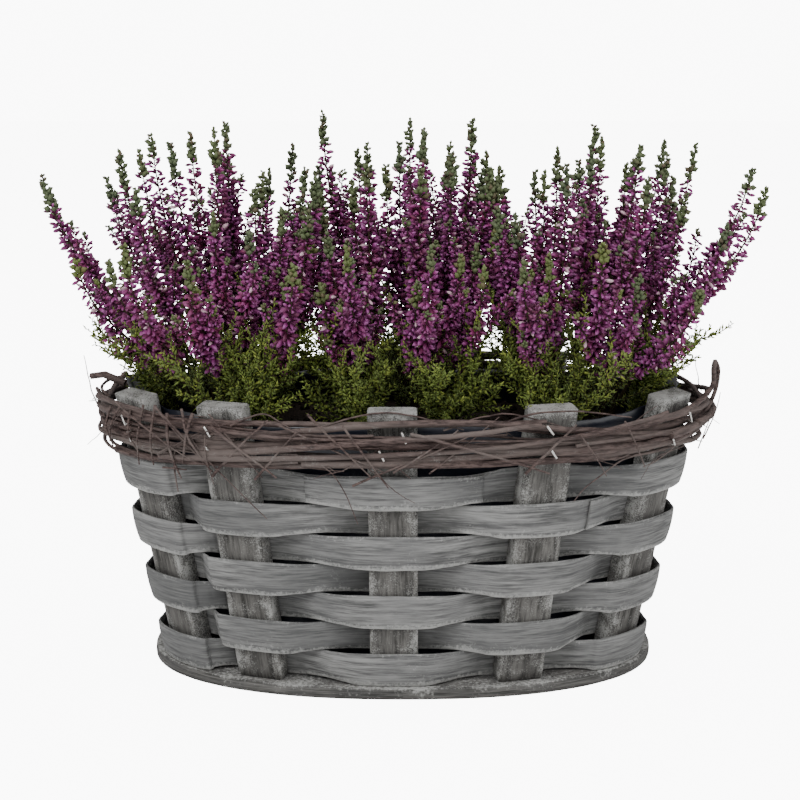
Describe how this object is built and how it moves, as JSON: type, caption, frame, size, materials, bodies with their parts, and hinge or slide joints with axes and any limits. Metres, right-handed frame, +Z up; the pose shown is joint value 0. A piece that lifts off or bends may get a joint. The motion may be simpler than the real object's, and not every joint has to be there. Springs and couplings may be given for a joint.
{
  "type": "potted heather",
  "caption": "Flowering heathers growing in an oval basket woven from wood chip strips on upright stakes, with a twig border and a plastic liner.",
  "frame": {"origin": "middle of the base board's underside, on the surface that the basket stands on", "axes": "+X along the oval's long axis, -Y towards the front, +Z up"},
  "size_m": [0.3916, 0.2002, 0.2943],
  "materials": {
    "heather_flowers": "matte magenta-purple buds on dark brown-green stems, with grey-green leafy tips",
    "heather_leaves": "matte fresh green scale leaves",
    "stake_wood": "dark weathered sawn wood with a whitewash speckle",
    "chip_strip": "grey weathered chip wood with pale whitewashed edges",
    "board_wood": "grey weathered board with a mottled whitewashed edge",
    "twig_bark": "brown-purple bark with lighter wear",
    "liner_film": "dark blue-black film",
    "soil": "dark crumbly potting mix"
  },
  "bodies": {
    "root": {"base_board": "board_wood", "heather_left_flower_spray_1": "heather_flowers", "heather_left_flower_spray_2": "heather_flowers", "heather_left_flower_spray_3": "heather_flowers", "heather_left_flower_spray_4": "heather_flowers", "heather_left_flower_spray_5": "heather_flowers", "heather_left_flower_spray_6": "heather_flowers", "heather_left_flower_spray_7": "heather_flowers", "heather_left_flower_spray_8": "heather_flowers", "heather_left_leafy_tuft_1": "heather_leaves", "heather_left_leafy_tuft_2": "heather_leaves", "heather_left_leafy_tuft_3": "heather_leaves", "heather_middle_flower_spray_1": "heather_flowers", "heather_middle_flower_spray_2": "heather_flowers", "heather_middle_flower_spray_3": "heather_flowers", "heather_middle_flower_spray_4": "heather_flowers", "heather_middle_flower_spray_5": "heather_flowers", "heather_middle_flower_spray_6": "heather_flowers", "heather_middle_flower_spray_7": "heather_flowers", "heather_middle_flower_spray_8": "heather_flowers", "heather_middle_leafy_tuft_1": "heather_leaves", "heather_middle_leafy_tuft_2": "heather_leaves", "heather_middle_leafy_tuft_3": "heather_leaves", "heather_right_flower_spray_1": "heather_flowers", "heather_right_flower_spray_2": "heather_flowers", "heather_right_flower_spray_3": "heather_flowers", "heather_right_flower_spray_4": "heather_flowers", "heather_right_flower_spray_5": "heather_flowers", "heather_right_flower_spray_6": "heather_flowers", "heather_right_flower_spray_7": "heather_flowers", "heather_right_flower_spray_8": "heather_flowers", "heather_right_leafy_tuft_1": "heather_leaves", "heather_right_leafy_tuft_2": "heather_leaves", "heather_right_leafy_tuft_3": "heather_leaves", "liner": "liner_film", "potting_soil": "soil", "stake_01": "stake_wood", "stake_02": "stake_wood", "stake_03": "stake_wood", "stake_04": "stake_wood", "stake_05": "stake_wood", "stake_06": "stake_wood", "stake_07": "stake_wood", "stake_08": "stake_wood", "stake_09": "stake_wood", "stake_10": "stake_wood", "twig_border": "twig_bark", "weaver_1": "chip_strip", "weaver_2": "chip_strip", "weaver_3": "chip_strip", "weaver_4": "chip_strip", "weaver_5": "chip_strip", "weaver_6": "chip_strip", "weaver_7": "chip_strip"}
  },
  "joints": []
}
